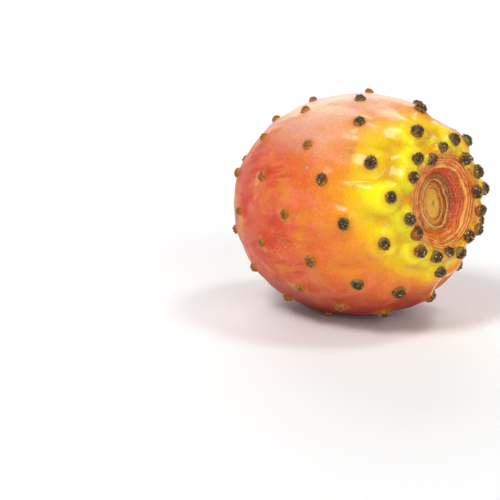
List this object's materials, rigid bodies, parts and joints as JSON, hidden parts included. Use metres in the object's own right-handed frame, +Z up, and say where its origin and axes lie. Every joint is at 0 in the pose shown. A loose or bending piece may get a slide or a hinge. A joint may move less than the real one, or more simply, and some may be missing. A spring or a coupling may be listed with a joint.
{
  "type": "prickly pear fruit",
  "caption": "Whole barrel-shaped cactus fruit lying on its side, with a ringed hollow navel at one end and low spine cushions set in spirals over swollen skin.",
  "frame": {"origin": "middle of the small flat spot that the fruit rests on", "axes": "+Z up from the surface, +X along the fruit's length towards the navel end, which is raised by about 10 degrees"},
  "size_m": [0.0665, 0.0599, 0.0596],
  "materials": {
    "skin": "waxy gloss, yellow at the navel end through orange to dull pink, with dark brown cushions"
  },
  "bodies": {
    "root": {"fruit": "skin"}
  },
  "joints": []
}
